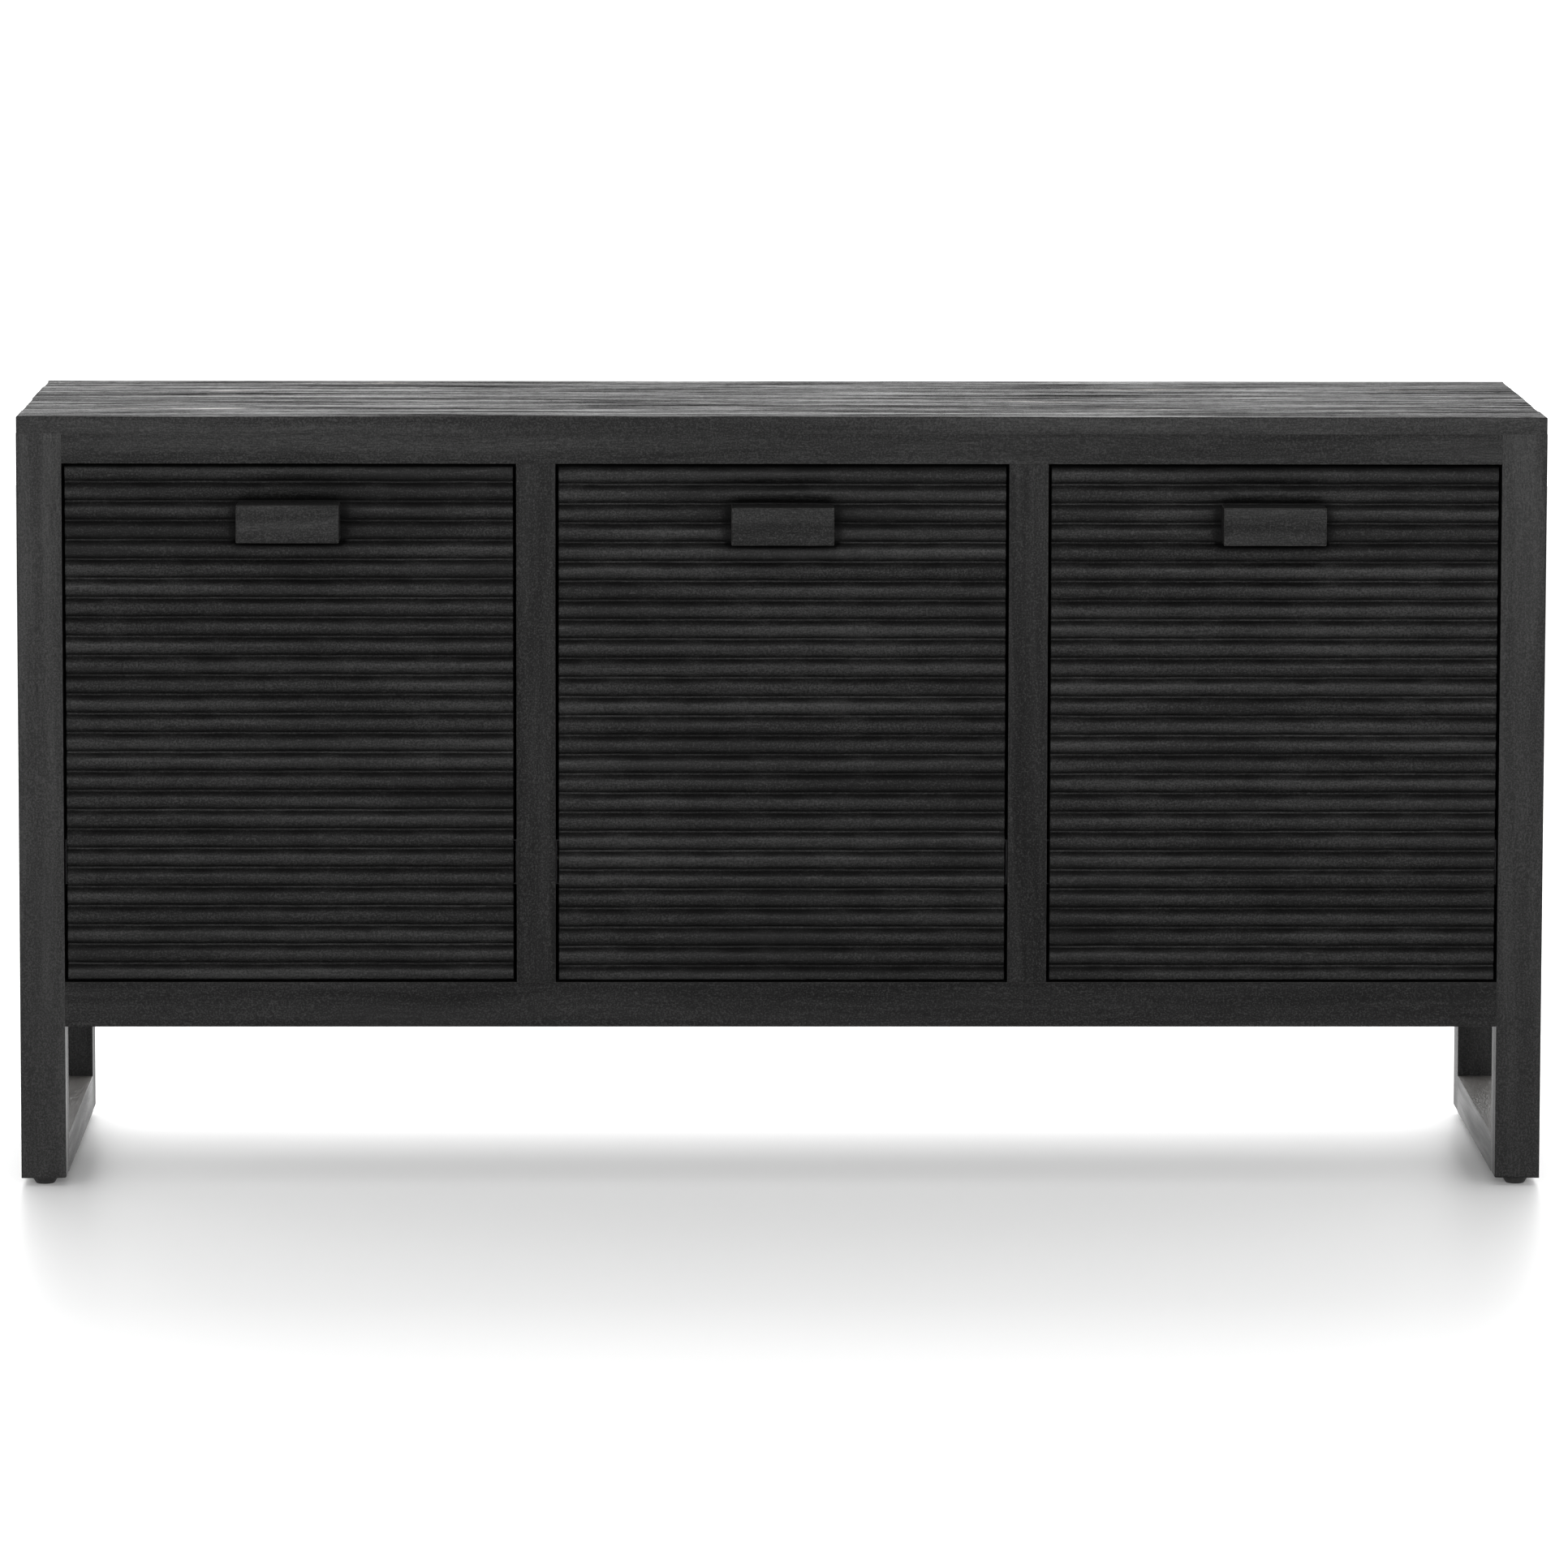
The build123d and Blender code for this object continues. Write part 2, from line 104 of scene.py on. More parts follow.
# ---- details of the squared boards
MERGE_DISTANCE = 0.001 * MM
FLAT_ANGLE = 0.01           # radians between faces that are joined into one
SHARP_ANGLE = 0.9           # radians between faces whose edge is eased
JOINT_EDGE = 0.35 * MM      # easing of the edges
FOOT_EDGE = 1.8 * MM        # the lower ends of the legs are rounder
SHORTEST_EDGE = 8 * MM      # shorter edges stay sharp
SHORTEST_FOOT_EDGE = 20 * MM
RUNNER_TOP_LIFT = 3.0           # the upper sides of the floor runners are made much lighter

# ---- details of the reeded fronts
REED_PITCH = 19.34 * MM
REED_GROOVES = 26
REED_DEPTH = 4.5 * MM
REED_FLAT = 1.8 * MM        # width of the floor of a groove
REED_RISE = 0.1 * MM        # how far that floor lies above the groove's depth
REED_SHIFT = (0.9 * MM, -1.5 * MM, -1.5 * MM)   # the reeds of the three fronts don't line up
REED_SIDE = 1.1 * MM        # rounding at the two ends of the reeds
REED_TRIM = 0.7 * MM        # rounding at the top and bottom of a front
REED_WORN = 0.8 * MM        # width of the rubbed strip at the two ends
REED_COLUMN = 3 * MM        # spacing of the columns of a front's mesh
PAINTED_HANDLE_SHADE = 0.85         # painted shade round the handles
PAINTED_HANDLE_SHADE_REACH = 12 * MM
PAINTED_UNDER_HANDLE_SHADOW = 1.3           # and a darker painted shadow in the corner beneath them
PAINTED_UNDER_HANDLE_REACH = 8.5 * MM

# How far the hand that planed the reeds strayed, and the length of its waves
GROOVE_STRAY, STRAY_WAVE = 0.30 * MM, 140 * MM
CREST_SINK, SINK_WAVE = 0.22 * MM, 110 * MM
CREST_LEAN, LEAN_WAVE = 0.5 * MM, 200 * MM
# lengths of the waves along the reeds in their painted shade and painted highlight
PAINTED_SHADE_WAVE, PAINTED_HIGHLIGHT_WAVE = 90 * MM, 130 * MM

# ---- details of the top and the handles
TOP_BOARDS = 6              # boards glued side by side in the top
TOP_SUNK = 0.9 * MM         # the lower edge of the top sinks this far, so its joint line stays thin
TOP_END_WOBBLE = 1.8 * MM   # how far the boards' ends stand back from each other
TOP_END_REACH = 30 * MM     # how far from its end a board is moved by that
TOP_BLEND = 0.06            # share of a board over which its end meets the next one's
TOP_RIM = 10 * MM           # the hollows in the boards fade out over this width
TOP_WAVE = 0.10 * MM
TOP_ROUND, TOP_STEP = 1.3 * MM, 6 * MM          # rounding of a block's edges, size of its faces
HANDLE_ROUND, HANDLE_STEP = 1.6 * MM, 2.5 * MM
HANDLE_DENT = 0.12 * MM
SQUARE_EDGE_REACH = 0.414   # how far beyond its radius a square edge lies, as a share of the radius

# Section of one reed, from its lower crease up: (millimetres from its crest, depth as a share of
# the groove's or None on the round, painted shade, painted highlight on groove floors and crest)
REED_SECTION = (
    (-9.20, 1.08, 0.8, 0.0), (-8.80, 0.97, 0.9, 0.0), (-8.40, None, 0.84, 0.0),
    (-7.60, None, 0.56, 0.0), (-6.40, None, 0.34, 0.0), (-5.00, None, 0.20, 0.0),
    (-3.40, None, 0.10, 0.0), (-1.70, None, 0.00, 0.0), (0.00, None, 0.0, 0.1),
    (1.20, None, 0.0, 0.0), (2.40, None, 0.18, 0.0), (3.60, None, 0.44, 0.0),
    (4.80, None, 0.66, 0.0), (6.00, None, 0.80, 0.0), (6.90, None, 0.82, 0.0),
    (7.40, None, 0.72, 0.0), (8.10, 0.97, 0.45, 0.28), (8.90, 1.00, 0.20, 0.36),
    (9.55, 1.00, 0.45, 0.25), (9.85, 1.05, 0.8, 0.0),
)

cad_low, cad_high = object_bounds()
record = frame["record"]
body_of = {node: body for body, nodes in record["behaviour"]["bodies"].items() for node in nodes}
slot_of = {part["node"]: part["material_slot"] for part in record["subparts"]}


# ---------------------------------------------------------------- shader helpers
def node(tree, kind, inputs=(), **settings):
    """Adds a shader node, with its settings, and links or fills its inputs."""
    made = tree.nodes.new("ShaderNode" + kind)
    for key, value in settings.items():
        setattr(made, key, value)
    for key, value in dict(inputs).items():
        if isinstance(value, bpy.types.NodeSocket):
            tree.links.new(value, made.inputs[key])
        else:
            made.inputs[key].default_value = value
    return made


def calc(tree, operation, *values, clamp=False):
    """Output of a math node."""
    inputs = dict(enumerate(values))
    return node(tree, "Math", inputs, operation=operation, use_clamp=clamp).outputs[0]


def vector_calc(tree, operation, *values):
    """Output of a vector math node."""
    return node(tree, "VectorMath", dict(enumerate(values)), operation=operation).outputs[0]


def stretched_noise(tree, place, scale, detail, roughness=0.5):
    """Noise that is finer along some axes than others, from 0 to 1."""
    spread = vector_calc(tree, "MULTIPLY", place, scale)
    inputs = {"Vector": spread, "Scale": 1.0, "Detail": detail, "Roughness": roughness}
    return node(tree, "TexNoise", inputs).outputs[0]


def levels(tree, value, low, high, to_low=0.0, to_high=1.0):
    """Value moved from one range to another, held at the ends."""
    inputs = {0: value, 1: low, 2: high, 3: to_low, 4: to_high}
    return node(tree, "MapRange", inputs, clamp=True).outputs[0]


def blend_colour(tree, share, first, second):
    """Two colours mixed by a share."""
    mix = node(tree, "Mix", {"Factor": share}, data_type="RGBA")
    for socket, value in ((mix.inputs[6], first), (mix.inputs[7], second)):
        if isinstance(value, bpy.types.NodeSocket):
            tree.links.new(value, socket)
        else:
            socket.default_value = value
    return mix.outputs[2]


def grey(level, warmth=0.0):
    """Near-neutral colour, with a little red added and blue taken off by warmth."""
    return (level * (1 + warmth), level, level * (1 - warmth), 1.0)


def new_material(name):
    """Material with its node tree and its shader."""
    material = bpy.data.materials.new(name)
    material.use_nodes = True
    tree = material.node_tree
    return material, tree, tree.nodes["Principled BSDF"]


def link_shader(tree, shader, links):
    """Links a value to each named input of a shader."""
    for socket, value in links.items():
        tree.links.new(value, shader.inputs[socket])


# ---------------------------------------------------------------- wood
def wood_group():
    """Stained open-pored wood. The input place has the grain along X, in metres.

    The three scales of each noise are waves to the metre, along the grain and then across it."""
    tree = bpy.data.node_groups.new("stained_wood", "ShaderNodeTree")
    tree.interface.new_socket("place", in_out="INPUT", socket_type="NodeSocketVector")
    for name in ("board", "wear_and_highlight", "painted_shade", "tone", "blotch"):
        tree.interface.new_socket(name, in_out="INPUT", socket_type="NodeSocketFloat")
    tree.interface.new_socket("colour", in_out="OUTPUT", socket_type="NodeSocketColor")
    for name in ("figure", "height"):
        tree.interface.new_socket(name, in_out="OUTPUT", socket_type="NodeSocketFloat")
    given = tree.nodes.new("NodeGroupInput").outputs
    across = node(tree, "SeparateXYZ", {0: given["place"]}).outputs[1]
    index = calc(tree, "FLOOR", calc(tree, "DIVIDE", across, given["board"]))
    chance = node(tree, "TexWhiteNoise", {"W": index}, noise_dimensions="1D").outputs
    shifted = vector_calc(tree, "ADD", given["place"],
                          vector_calc(tree, "MULTIPLY", chance["Color"], (7.0, 3.0, 5.0)))
    bend = node(tree, "TexNoise", {"Vector": shifted, "Scale": 3.0, "Detail": 2.0}).outputs["Color"]
    bend = vector_calc(tree, "SUBTRACT", bend, (0.5, 0.5, 0.5))
    bend = vector_calc(tree, "MULTIPLY", bend, (0.0, 0.03, 0.03))
    place = vector_calc(tree, "ADD", shifted, bend)

    figure = stretched_noise(tree, place, (1.6, 42.0, 42.0), 5.0, 0.6)
    fine = stretched_noise(tree, place, (14.0, 260.0, 260.0), 4.0, 0.65)
    speckle = stretched_noise(tree, place, (560.0, 620.0, 620.0), 2.0, 0.7)
    cloud = stretched_noise(tree, place, (5.0, 10.0, 10.0), 3.0, 0.5)
    pores = stretched_noise(tree, place, (70.0, 1300.0, 1300.0), 2.0, 0.5)
    pores = levels(tree, pores, 0.55, 0.66)
    flecks = stretched_noise(tree, place, (90.0, 300.0, 300.0), 3.0, 0.6)
    flecks = levels(tree, flecks, 0.70, 0.80)
    knot_place = vector_calc(tree, "MULTIPLY", place, (2.2, 9.0, 9.0))
    knot = node(tree, "TexVoronoi", {"Vector": knot_place, "Scale": 1.0}).outputs["Distance"]
    knots = levels(tree, knot, 0.04, 0.22, 1.0, 0.0)
    rings = calc(tree, "MULTIPLY", knots, calc(tree, "SINE", calc(tree, "MULTIPLY", knot, 110.0)))
    nick_place = vector_calc(tree, "MULTIPLY", place, (18.0, 60.0, 60.0))
    nick = node(tree, "TexVoronoi", {"Vector": nick_place, "Scale": 1.0}).outputs
    rare = node(tree, "SeparateColor", {0: nick["Color"]}).outputs[0]
    nicks = calc(tree, "MULTIPLY", levels(tree, rare, 0.86, 0.87),
                 levels(tree, nick["Distance"], 0.05, 0.09, 1.0, 0.0))

    bands = calc(tree, "MULTIPLY_ADD", given["blotch"], 0.35, 0.30)
    shade = calc(tree, "MULTIPLY", calc(tree, "SUBTRACT", figure, 0.5), bands)
    shade = calc(tree, "MULTIPLY_ADD", fine, 0.9, shade)
    shade = calc(tree, "MULTIPLY_ADD", calc(tree, "SUBTRACT", cloud, 0.5), given["blotch"], shade)
    shade = calc(tree, "MULTIPLY_ADD", speckle, 4.6, shade)
    shade = calc(tree, "MULTIPLY_ADD", rings, 0.16, shade)
    shade = calc(tree, "MULTIPLY_ADD", calc(tree, "SUBTRACT", chance["Value"], 0.5), 0.16, shade)
    shade = calc(tree, "ADD", calc(tree, "ADD", shade, given["tone"]), -SHADE_MIDDLE)
    # the wear mask also carries painted highlights; where it is high the colour goes to bare wood
    lightened = calc(tree, "ADD", given["wear_and_highlight"], calc(tree, "MULTIPLY", fine, 0.8))
    lightened = levels(tree, lightened, 1.0, 1.6)
    covered = calc(tree, "MAXIMUM", 0.45, calc(tree, "MULTIPLY", given["wear_and_highlight"], 0.45), clamp=True)
    # colours laid over the stain: pores, flecks, knots, bare wood and painted highlights, painted
    # shade, nicks
    overlays = (
        (calc(tree, "MULTIPLY", pores, 0.6), grey(PORE_STAIN)),
        (calc(tree, "MULTIPLY", flecks, 0.5), grey(FLECK_STAIN, 0.02)),
        (calc(tree, "MULTIPLY", knots, 0.35), grey(KNOT_STAIN)),
        (calc(tree, "MULTIPLY", lightened, covered), grey(BARE_WOOD_AND_HIGHLIGHT, 0.05)),
        (calc(tree, "MULTIPLY", given["painted_shade"], 0.85), grey(PAINTED_SHADE_COLOUR)),
        (nicks, grey(NICK_STAIN)),
    )
    shade = levels(tree, shade, 0.0, 1.0)
    colour = blend_colour(tree, shade, grey(DARK_STAIN), grey(LIGHT_STAIN, 0.01))
    for share, stain in overlays:
        colour = blend_colour(tree, share, colour, stain)

    height = calc(tree, "MULTIPLY_ADD", fine, 0.5, calc(tree, "MULTIPLY", speckle, 0.45))
    height = calc(tree, "MULTIPLY_ADD", pores, -0.5, height)
    height = calc(tree, "MULTIPLY_ADD", nicks, -1.5, height)
    out = tree.nodes.new("NodeGroupOutput")
    for key, value in (("colour", colour), ("figure", figure), ("height", height)):
        tree.links.new(value, out.inputs[key])
    return tree


WOOD = wood_group()


def wood_material(name, board=10.0, blotch=0.35, bump=0.5, roughness=(0.62, 0.46),
                  sheen=(0.22, 0.30), glints=0.0):
    """Stained wood for a mesh that holds its own grain, wear, hollow and tone attributes.

    board is the width of the boards glued side by side, and blotch how much the stain clouds.
    roughness and sheen run from the dull bands of the figure to the smooth ones, and glints is
    how strongly a few small areas are painted pale as glints, and made smoother."""
    material, tree, shader = new_material(name)
    group = tree.nodes.new("ShaderNodeGroup")
    group.node_tree = WOOD
    place = node(tree, "Attribute", attribute_name="grain").outputs["Vector"]
    tree.links.new(place, group.inputs["place"])
    masks = {key: node(tree, "Attribute", attribute_name=key).outputs["Fac"]
             for key in ("wear_and_highlight", "painted_shade", "tone")}
    for key, value in masks.items():
        tree.links.new(value, group.inputs[key])
    group.inputs["board"].default_value = board
    group.inputs["blotch"].default_value = blotch
    figure = group.outputs["figure"]
    if glints:
        short = stretched_noise(tree, place, (4.5, 55.0, 55.0), 5.0, 0.68)
        figure = calc(tree, "MULTIPLY_ADD", figure, 0.35, calc(tree, "MULTIPLY", short, 0.70))
        figure = calc(tree, "SUBTRACT", figure, 0.205)
        figure = calc(tree, "MULTIPLY_ADD", group.outputs["height"], 0.40, figure)
    smooth = levels(tree, figure, 0.39, 0.61)
    colour = group.outputs["colour"]
    dull = levels(tree, smooth, 0.0, 1.0, *roughness)
    if glints:
        # painted glints: a few small areas are painted pale, standing in for reflections, and made
        # smoother
        spots = stretched_noise(tree, place, (6.0, 26.0, 26.0), 2.0)
        spots = levels(tree, spots, 0.68, 0.76)
        spots = calc(tree, "MULTIPLY", spots, levels(tree, figure, 0.42, 0.55))
        bright = calc(tree, "MULTIPLY", spots, glints)
        colour = blend_colour(tree, bright, colour, grey(0.30, 0.10))
        dull = calc(tree, "MULTIPLY_ADD", spots, -0.12, dull)
    raised = node(tree, "Bump", {"Height": group.outputs["height"], "Strength": bump,
                                 "Distance": 0.6 * MM})
    # painted shade also lowers the sheen
    dimmed = calc(tree, "MULTIPLY", calc(tree, "MULTIPLY_ADD", masks["tone"], 2.0, 1.0),
                  calc(tree, "MULTIPLY_ADD", masks["painted_shade"], -0.7, 1.0))
    sheens = levels(tree, smooth, 0.0, 1.0, *sheen)
    sheens = calc(tree, "MULTIPLY", sheens, dimmed, clamp=True)
    link_shader(tree, shader, {"Base Color": colour, "Roughness": dull,
                               "Specular IOR Level": sheens, "Normal": raised.outputs[0]})
    return material


# ---------------------------------------------------------------- metal and plastic
def metal_material(name, colour, roughness):
    """Plated steel with drawing marks along the slide and faint blotches."""
    material, tree, shader = new_material(name)
    place = node(tree, "TexCoord").outputs["Object"]
    marks = stretched_noise(tree, place, (900.0, 12.0, 900.0), 3.0)
    blotch = stretched_noise(tree, place, (60.0, 60.0, 60.0), 3.0)
    shade = calc(tree, "MULTIPLY_ADD", marks, 0.4, calc(tree, "MULTIPLY", blotch, 0.6))
    dark = tuple(0.75 * c for c in colour) + (1.0,)
    mixed = blend_colour(tree, levels(tree, shade, 0.3, 0.7), dark, tuple(colour) + (1.0,))
    dull = levels(tree, shade, 0.3, 0.7, roughness + 0.1, roughness)
    raised = node(tree, "Bump", {"Height": marks, "Strength": 0.15, "Distance": 0.1 * MM})
    link_shader(tree, shader, {"Base Color": mixed, "Roughness": dull, "Normal": raised.outputs[0]})
    shader.inputs["Metallic"].default_value = 1.0
    return material


def plastic_material(name):
    """Moulded black plastic with a fine matt texture and patches of dust."""
    material, tree, shader = new_material(name)
    place = node(tree, "TexCoord").outputs["Object"]
    grainy = stretched_noise(tree, place, (1400.0, 1400.0, 1400.0), 3.0)
    dust = stretched_noise(tree, place, (160.0, 160.0, 160.0), 4.0, 0.6)
    mixed = blend_colour(tree, levels(tree, dust, 0.45, 0.75), grey(0.012), grey(0.035, 0.04))
    dull = levels(tree, dust, 0.3, 0.7, 0.5, 0.7)
    raised = node(tree, "Bump", {"Height": grainy, "Strength": 0.3, "Distance": 0.1 * MM})
    link_shader(tree, shader, {"Base Color": mixed, "Roughness": dull, "Normal": raised.outputs[0]})
    return material


# ---------------------------------------------------------------- wooden pieces
# How much lighter a piece is than the rest, by the start of its name
TONES = {
    "stile": -0.20, "front_lower_rail": -0.19, "front_upper_rail": -0.10,
    "front_leg_left": 0.07, "floor_runner": 0.25,
    "left_drawer_front": -0.08, "middle_drawer_front": -0.08, "right_drawer_front": -0.08,
    "left_drawer_handle": -0.05, "middle_drawer_handle": -0.16, "right_drawer_handle": -0.12,
}


def vertex_places(mesh):
    """Coordinates of a mesh's points, one row each."""
    place = np.zeros(len(mesh.vertices) * 3)
    mesh.vertices.foreach_get("co", place)
    return place.reshape(-1, 3)


def set_grain(mesh, grain, seed):
    """Writes each point's place in its board, along the grain first, moved to a spot of its own.

    grain names the axis along the grain, then the axis across the boards."""
    place = vertex_places(mesh)
    order = ["XYZ".index(axis) for axis in grain]
    order.append(3 - sum(order))
    shift = np.random.default_rng(seed).uniform(-20, 20, 3) * (1, 0, 1)
    low = place.min(0)[order]
    made = place[:, order] - low * (0, 1, 0) + shift + (0, MM, 0)
    layer = mesh.attributes.new("grain", "FLOAT_VECTOR", "POINT")
    layer.data.foreach_set("vector", made.astype(np.float32).ravel())


def set_mask(mesh, name, values):
    """Writes a number for each point, which the wood reads by its name."""
    layer = mesh.attributes.new(name, "FLOAT", "POINT")
    layer.data.foreach_set("value", np.asarray(values, np.float32))


def finish_piece(name, mesh, materials, nodes):
    """Object for a mesh that stands for CAD nodes, on their body and with their slot."""
    tone = [value for part, value in TONES.items() if nodes[0].startswith(part)]
    set_mask(mesh, "tone", np.full(len(mesh.vertices), tone[0] if tone else 0.0))
    for each in materials:
        mesh.materials.append(each)
    piece = bpy.data.objects.new(name, mesh)
    bpy.context.scene.collection.objects.link(piece)
    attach(piece, body_of[nodes[0]])
    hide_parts(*nodes)
    return piece


def eased_board(source, grain, material, seed):
    """Board with its long outer edges eased and rubbed, and its feet rounded if it is a leg."""
    form = bmesh.new()
    form.from_mesh(frame["nodes"][source].data)
    bmesh.ops.remove_doubles(form, verts=form.verts, dist=MERGE_DISTANCE)
    bmesh.ops.dissolve_limit(form, angle_limit=FLAT_ANGLE, verts=form.verts, edges=form.edges)
    corners = [v.co for v in form.verts]
    low, high = np.min(corners, axis=0), np.max(corners, axis=0)
    if "leg" in source:
        foot_edges = [e for e in form.edges if max(v.co.z for v in e.verts) < low[2] + MM
                      and e.is_convex and e.calc_length() > SHORTEST_FOOT_EDGE]
        bmesh.ops.bevel(form, geom=foot_edges, offset=FOOT_EDGE, segments=3, profile=0.5,
                        affect="EDGES")
    sharp = [e for e in form.edges if e.is_manifold and e.is_convex
             and e.calc_face_angle(0) > SHARP_ANGLE and e.calc_length() > SHORTEST_EDGE]
    eased = bmesh.ops.bevel(form, geom=sharp, offset=JOINT_EDGE, segments=2, profile=0.5,
                            affect="EDGES", clamp_overlap=True)
    rim = set(eased["faces"])
    lighter_mask = [1.0 if v.link_faces and rim.issuperset(v.link_faces) else 0.0 for v in form.verts]
    for face in form.faces:
        face.smooth = True
    for vert in form.verts:     # a bevel can throw a point outside the board
        vert.co = np.clip(vert.co, low, high)
    mesh = bpy.data.meshes.new(source + "_wood")
    form.to_mesh(mesh)
    form.free()
    if "custom_normal" in mesh.attributes:
        mesh.attributes.remove(mesh.attributes["custom_normal"])
    set_grain(mesh, grain, seed)
    # the upper sides of the floor runners are made much lighter
    if source.startswith("floor_runner"):
        lighter_mask = [RUNNER_TOP_LIFT if v.normal.z > 0.5 else lightening for v, lightening in zip(mesh.vertices, lighter_mask)]
    set_mask(mesh, "wear_and_highlight", lighter_mask)
    set_mask(mesh, "painted_shade", np.zeros(len(mesh.vertices)))
    piece = finish_piece(source + "_wood", mesh, [material], [source])
    shading = piece.modifiers.new("even_shading", "WEIGHTED_NORMAL")
    shading.keep_sharp = True


# ---------------------------------------------------------------- reeded fronts
def wander(x, length, rng, terms=4):
    """Smooth wandering curve from -1 to 1 along x, with its longest wave about length."""
    total = np.zeros_like(x, dtype=float)
    for k in range(terms):
        wave = length / (1 + 0.8 * k)
        total += np.sin(2 * np.pi * (x / wave + rng.uniform())) * rng.uniform(0.5, 1.0) / (1 + k)
    return total / 2.0


def reed_rows(x, tall, seed):
    """Height, depth, painted shade and painted highlight along each row of points up the reeds.

    The reeds were planed by hand, so each one wavers a little on its own. Grooves are shared by
    the reeds on both sides, so both draw a groove's straying from the same seed."""
    rng = np.random.default_rng(seed)
    first = (tall - (REED_GROOVES - 1) * REED_PITCH) / 2
    half = (REED_PITCH - REED_FLAT) / 2
    radius = (half ** 2 + REED_DEPTH ** 2) / (2 * REED_DEPTH)
    valley = REED_DEPTH - REED_RISE
    rows = []
    for i in range(-1, REED_GROOVES):
        crest = first + REED_SHIFT[seed % 3] + (i + 0.5) * REED_PITCH
        strays = [GROOVE_STRAY * wander(x, STRAY_WAVE, np.random.default_rng(seed * 100 + groove))
                  for groove in (i, i + 1)]
        sink = CREST_SINK * (1 + wander(x, SINK_WAVE, rng))
        lean = CREST_LEAN * wander(x, LEAN_WAVE, rng)
        # the painted shade and the painted highlight grow and fade along the reeds
        shade_strength = 0.5 + 0.5 * wander(x, PAINTED_SHADE_WAVE, rng)
        lightened = wander(x, PAINTED_HIGHLIGHT_WAVE, rng)
        # stain is a row's painted shade, lightening its painted highlight
        for height, depth, stain, lightening in REED_SECTION:
            along = height * MM
            share = along / half
            fade = max(0.0, 1 - share * share)
            stray = strays[0] if share < 0 else strays[1]
            arc = radius - np.sqrt(radius ** 2 - min(abs(along), half) ** 2)
            rows.append((crest + along + stray * min(1, abs(share)) + lean * fade,
                         (arc if depth is None else depth * valley) + sink * fade,
                         np.clip(stain * (0.6 + shade_strength), 0, 1),
                         lightening * np.clip(0.62 + 0.5 * lightened, 0, 1)))
    return np.stack(rows, axis=1)


def painted_handle_shade(source, x, z):
    """Painted shade round a front's handle, with a darker painted shadow in the corner beneath it.
    """
    low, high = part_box(source.replace("front", "handle"))
    beside = np.maximum(np.maximum(low.x - x, x - high.x), 0)
    above = np.maximum(z - high.z, 0)
    below = np.maximum(low.z - z, 0)
    apart = np.hypot(beside, np.maximum(2 * above, below))
    shaded_round = np.clip((PAINTED_HANDLE_SHADE_REACH - apart) / (0.5 * PAINTED_HANDLE_SHADE_REACH), 0, 1)
    corner = np.where(below > 0, PAINTED_UNDER_HANDLE_REACH - np.hypot(beside, below), 0)
    corner = np.clip(corner / (0.35 * PAINTED_UNDER_HANDLE_REACH), 0, 1)
    return np.maximum(PAINTED_HANDLE_SHADE * shaded_round, PAINTED_UNDER_HANDLE_SHADOW * corner)


def reeded_front(source, seed, material):
    """Drawer front: a strip of reeds across its face, closed by a flat back and two end caps."""
    low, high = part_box(source)
    width, tall, thick = high.x - low.x, high.z - low.z, high.y - low.y
    easing = np.array([0.0, 0.25, 0.6, 1.1]) * MM
    inset = easing[-1] + MM
    inner = np.linspace(inset, width - inset, int(width / REED_COLUMN))
    x = np.concatenate([easing, inner, width - easing[::-1]])

    grid = reed_rows(x, tall, seed)
    heights = grid[0].mean(1)
    grid = grid[:, (heights > 0.3 * MM) & (heights < tall - 0.3 * MM)]
    grid = np.concatenate([grid[:, :1], grid, grid[:, -1:]], axis=1)
    grid[0, 0], grid[0, -1] = 0.0, tall
    z, y, painted_shade, wear_and_highlight = grid
    # painted shade round the handle and a painted shadow in the corner beneath it
    painted_shade = np.maximum(painted_shade, painted_handle_shade(source, x + low.x, z + low.z))
    to_side = np.minimum(x, width - x)
    short = np.maximum(REED_SIDE - to_side, 0)
    y = y + REED_SIDE - np.sqrt(np.maximum(REED_SIDE ** 2 - short ** 2, 0))
    y[0] += REED_TRIM
    y[-1] += REED_TRIM

    columns = len(x)
    ring = len(z) + 2
    back = np.zeros((2, columns))
    y = np.vstack([y, back + thick])
    z = np.vstack([z, back[:1] + tall, back[:1]])
    painted_shade = np.vstack([painted_shade, back])
    wear_and_highlight = np.vstack([wear_and_highlight, back]) + np.where(to_side < REED_WORN, 0.5, 0.0)
    points = np.stack([x + np.zeros((ring, 1)), y, z], -1) + np.array(low)
    index = np.arange(ring * columns).reshape(ring, columns)
    upper = np.roll(index, -1, axis=0)
    quads = np.stack([index[:, :-1], index[:, 1:], upper[:, 1:], upper[:, :-1]], -1).reshape(-1, 4)
    caps = [index[:, 0].tolist(), index[::-1, -1].tolist()]
    mesh = bpy.data.meshes.new(source + "_reeded")
    mesh.from_pydata(points.reshape(-1, 3).tolist(), [], quads.tolist() + caps)
    mesh.polygons.foreach_set("use_smooth", [True] * len(quads) + [False, False])
    mesh.update()
    set_grain(mesh, "XZ", seed)
    set_mask(mesh, "wear_and_highlight", wear_and_highlight.ravel())
    set_mask(mesh, "painted_shade", painted_shade.ravel())
    piece = finish_piece(source + "_reeded", mesh, [material], [source])
    split = piece.modifiers.new("crisp_arrises", "EDGE_SPLIT")
    split.split_angle = math.radians(60)


# ---------------------------------------------------------------- rounded blocks
def ladder(low, high, radius, step):
    """Places from low to high, close together where the edge is rounded."""
    near = radius * np.array([0.0, 0.25, 0.6, 1.0])
    count = max(2, int(round((high - low) / step)))
    middle = np.linspace(low + radius, high - radius, count)[1:-1]
    return np.concatenate([low + near, middle, high - near[::-1]])


